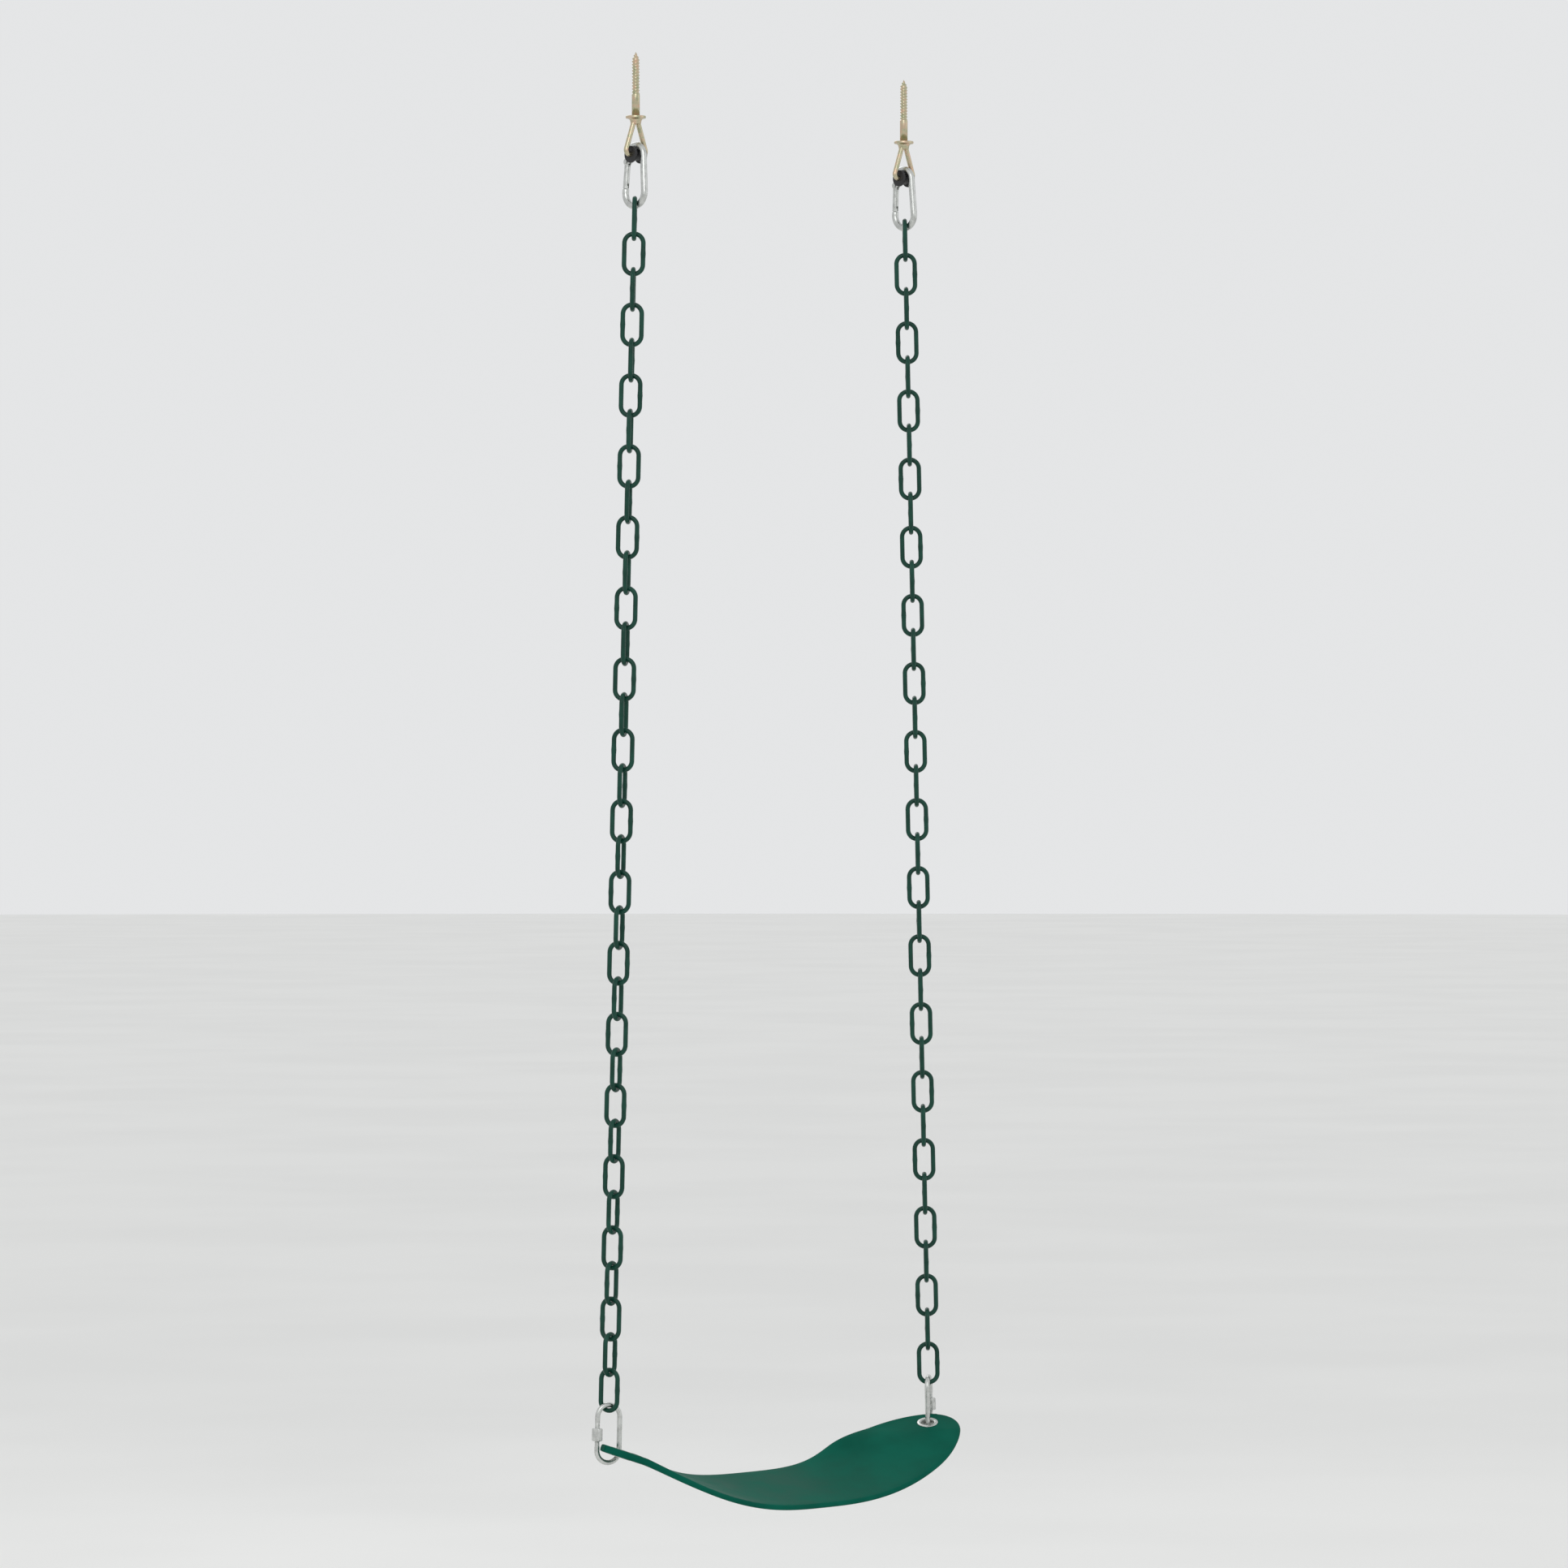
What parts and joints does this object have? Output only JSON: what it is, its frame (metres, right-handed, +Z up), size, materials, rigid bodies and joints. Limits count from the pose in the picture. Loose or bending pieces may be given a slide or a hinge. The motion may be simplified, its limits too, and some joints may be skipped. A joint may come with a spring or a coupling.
{
  "type": "belt swing seat",
  "caption": "Sling swing: flexible moulded belt seat on plastic coated chains, with snap hooks, quick links, bushed pivots and screw-in beam hangers.",
  "frame": {"origin": "on the beam's underside, midway between the two hangers", "axes": "+X along the beam towards the right hanger, +Y behind the seat, +Z up"},
  "size_m": [0.5843, 0.1456, 1.7351],
  "materials": {
    "moulded_belt": "satin moulded green polymer",
    "coated_chain": "glossy dark green plastisol dip over steel",
    "zinc_plate": "bright zinc plate",
    "spring_steel": "drawn spring wire",
    "yellow_zinc": "yellow passivated zinc plate",
    "nylon": "black moulded nylon"
  },
  "bodies": {
    "hangers": {"hanger_left": "yellow_zinc", "hanger_right": "yellow_zinc"},
    "bushings": {"bushing_left": "nylon", "bushing_right": "nylon"},
    "left_chain": {"snap_hook_left": "zinc_plate", "gate_pin_left": "zinc_plate", "chain_left_1": "coated_chain", "chain_left_2": "coated_chain", "chain_left_3": "coated_chain", "chain_left_4": "coated_chain", "chain_left_5": "coated_chain", "chain_left_6": "coated_chain", "chain_left_7": "coated_chain", "chain_left_8": "coated_chain", "chain_left_9": "coated_chain", "chain_left_10": "coated_chain", "chain_left_11": "coated_chain", "chain_left_12": "coated_chain", "chain_left_13": "coated_chain", "chain_left_14": "coated_chain", "chain_left_15": "coated_chain", "chain_left_16": "coated_chain", "chain_left_17": "coated_chain"},
    "right_chain": {"snap_hook_right": "zinc_plate", "gate_pin_right": "zinc_plate", "chain_right_1": "coated_chain", "chain_right_2": "coated_chain", "chain_right_3": "coated_chain", "chain_right_4": "coated_chain", "chain_right_5": "coated_chain", "chain_right_6": "coated_chain", "chain_right_7": "coated_chain", "chain_right_8": "coated_chain", "chain_right_9": "coated_chain", "chain_right_10": "coated_chain", "chain_right_11": "coated_chain", "chain_right_12": "coated_chain", "chain_right_13": "coated_chain", "chain_right_14": "coated_chain", "chain_right_15": "coated_chain", "chain_right_16": "coated_chain", "chain_right_17": "coated_chain"},
    "left_gate": {"snap_gate_left": "zinc_plate", "gate_spring_left": "spring_steel"},
    "right_gate": {"snap_gate_right": "zinc_plate", "gate_spring_right": "spring_steel"},
    "quick_links": {"quick_link_left": "zinc_plate", "quick_link_right": "zinc_plate"},
    "left_nut": {"link_nut_left": "zinc_plate"},
    "right_nut": {"link_nut_right": "zinc_plate"},
    "seat": {"seat_belt": "moulded_belt", "eyelet_left": "zinc_plate", "eyelet_right": "zinc_plate", "eyelet_washer_left": "zinc_plate", "eyelet_washer_right": "zinc_plate"}
  },
  "joints": [
    {"name": "swing", "type": "hinge", "parent": "hangers", "child": "bushings", "pos_m": [0, 0, -0.046], "axis": [1, 0, 0], "range_deg": [-60, 60]},
    {"name": "left_sway", "type": "hinge", "parent": "bushings", "child": "left_chain", "pos_m": [-0.2285, 0, -0.046], "axis": [0, 1, 0], "range_deg": [-8, 8]},
    {"name": "right_sway", "type": "hinge", "parent": "bushings", "child": "right_chain", "pos_m": [0.2285, 0, -0.046], "axis": [0, 1, 0], "range_deg": [-8, 8]},
    {"name": "seat_level", "type": "hinge", "parent": "left_chain", "child": "quick_links", "pos_m": [-0.27264, 0, -1.53104], "axis": [0, 1, 0], "range_deg": [-8, 8]},
    {"name": "seat_pitch", "type": "hinge", "parent": "quick_links", "child": "seat", "pos_m": [0, 0, -1.57832], "axis": [1, 0, 0], "range_deg": [-15, 15], "stiffness_Nm_per_rad": 1.5},
    {"name": "left_gate_hinge", "type": "hinge", "parent": "left_chain", "child": "left_gate", "pos_m": [-0.22873, 0.01346, -0.05377], "axis": [0.9996, 0, -0.0297], "range_deg": [-28, 0], "stiffness_Nm_per_rad": 0.2, "springref_deg": 5.73},
    {"name": "right_gate_hinge", "type": "hinge", "parent": "right_chain", "child": "right_gate", "pos_m": [0.22873, 0.01346, -0.05377], "axis": [0.9996, 0, 0.0297], "range_deg": [-28, 0], "stiffness_Nm_per_rad": 0.2, "springref_deg": 5.73},
    {"name": "left_nut_travel", "type": "slide", "parent": "quick_links", "child": "left_nut", "axis": [0.0297, 0, 0.9996], "range_m": [0, 0.011]},
    {"name": "right_nut_travel", "type": "slide", "parent": "quick_links", "child": "right_nut", "axis": [-0.0297, 0, 0.9996], "range_m": [0, 0.011]}
  ],
  "couplings": [
    {"joint": "right_sway", "follows": "left_sway", "ratio": 1},
    {"joint": "seat_level", "follows": "left_sway", "ratio": -0.8385}
  ]
}
